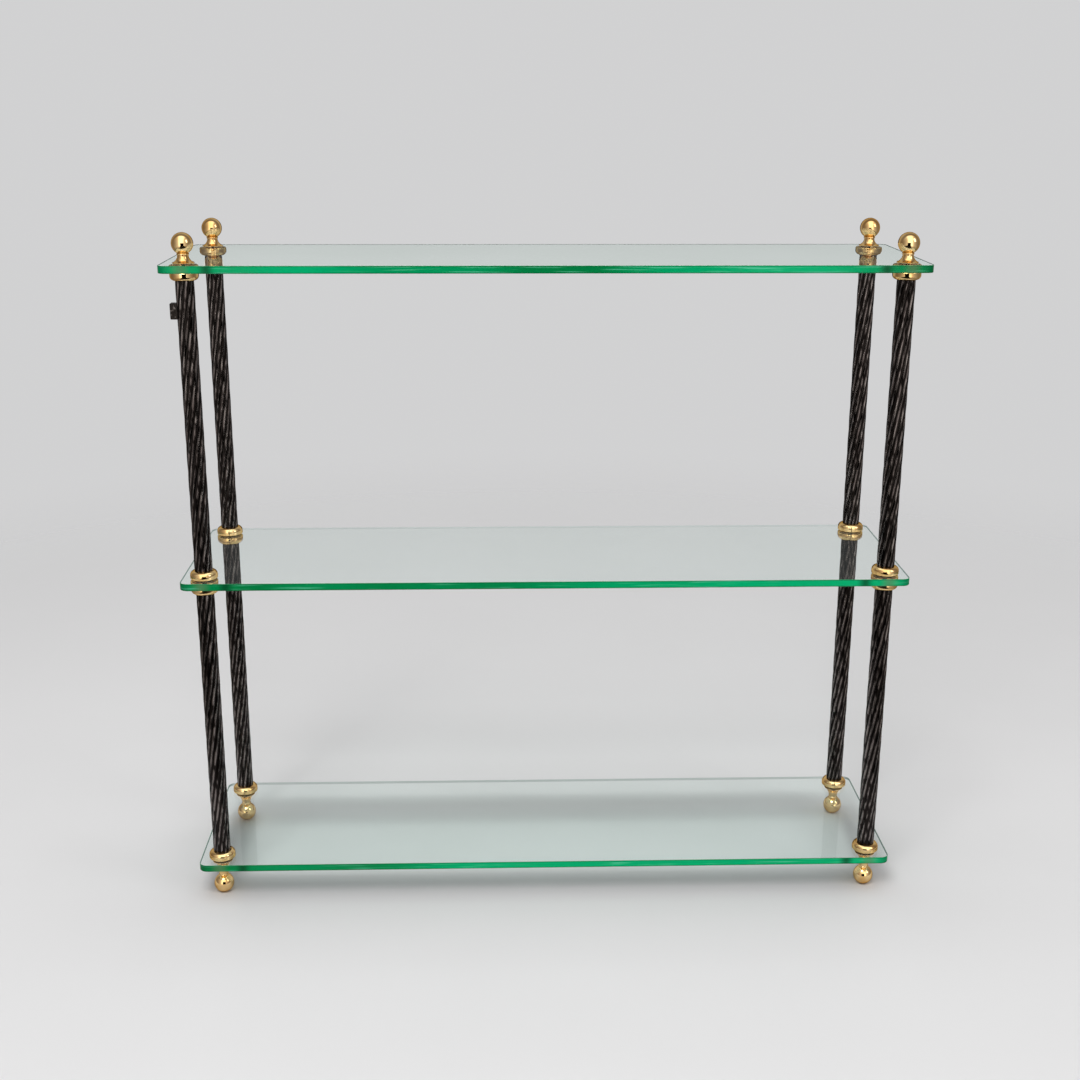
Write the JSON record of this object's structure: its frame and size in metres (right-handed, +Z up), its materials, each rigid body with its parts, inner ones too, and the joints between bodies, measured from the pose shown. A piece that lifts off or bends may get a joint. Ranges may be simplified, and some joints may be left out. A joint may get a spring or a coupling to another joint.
{
  "type": "etagere",
  "caption": "Open etagere: clear glass shelves clamped between corner posts of spiral-fluted dark metal columns with turned brass collars, ball finials and ball feet.",
  "frame": {"origin": "on the floor at the middle of the etagere's plan", "axes": "+X to the right as seen from the front, +Y to the rear, +Z up"},
  "size_m": [0.6, 0.16, 0.5692],
  "materials": {
    "clear_glass": "clear float glass with polished green edges",
    "polished_brass": "polished and lacquered",
    "gunmetal": "dark bronze-black with a satin sheen",
    "rod_steel": "plain drawn steel",
    "pad": "thin translucent pad"
  },
  "bodies": {
    "root": {"bottom_shelf": "clear_glass", "collar_over_bottom_front_left": "polished_brass", "collar_over_bottom_front_right": "polished_brass", "collar_over_bottom_rear_left": "polished_brass", "collar_over_bottom_rear_right": "polished_brass", "collar_over_middle_front_left": "polished_brass", "collar_over_middle_front_right": "polished_brass", "collar_over_middle_rear_left": "polished_brass", "collar_over_middle_rear_right": "polished_brass", "collar_under_middle_front_left": "polished_brass", "collar_under_middle_front_right": "polished_brass", "collar_under_middle_rear_left": "polished_brass", "collar_under_middle_rear_right": "polished_brass", "collar_under_top_front_left": "polished_brass", "collar_under_top_front_right": "polished_brass", "collar_under_top_rear_left": "polished_brass", "collar_under_top_rear_right": "polished_brass", "finial_front_left": "polished_brass", "finial_front_right": "polished_brass", "finial_rear_left": "polished_brass", "finial_rear_right": "polished_brass", "foot_front_left": "polished_brass", "foot_front_right": "polished_brass", "foot_rear_left": "polished_brass", "foot_rear_right": "polished_brass", "lower_column_front_left": "gunmetal", "lower_column_front_right": "gunmetal", "lower_column_rear_left": "gunmetal", "lower_column_rear_right": "gunmetal", "middle_shelf": "clear_glass", "side_lug": "gunmetal", "tie_rod_front_left": "rod_steel", "tie_rod_front_right": "rod_steel", "tie_rod_rear_left": "rod_steel", "tie_rod_rear_right": "rod_steel", "top_shelf": "clear_glass", "upper_column_front_left": "gunmetal", "upper_column_front_right": "gunmetal", "upper_column_rear_left": "gunmetal", "upper_column_rear_right": "gunmetal", "washers_over_bottom": "pad", "washers_over_middle": "pad", "washers_over_top": "pad", "washers_under_bottom": "pad", "washers_under_middle": "pad", "washers_under_top": "pad"}
  },
  "joints": []
}
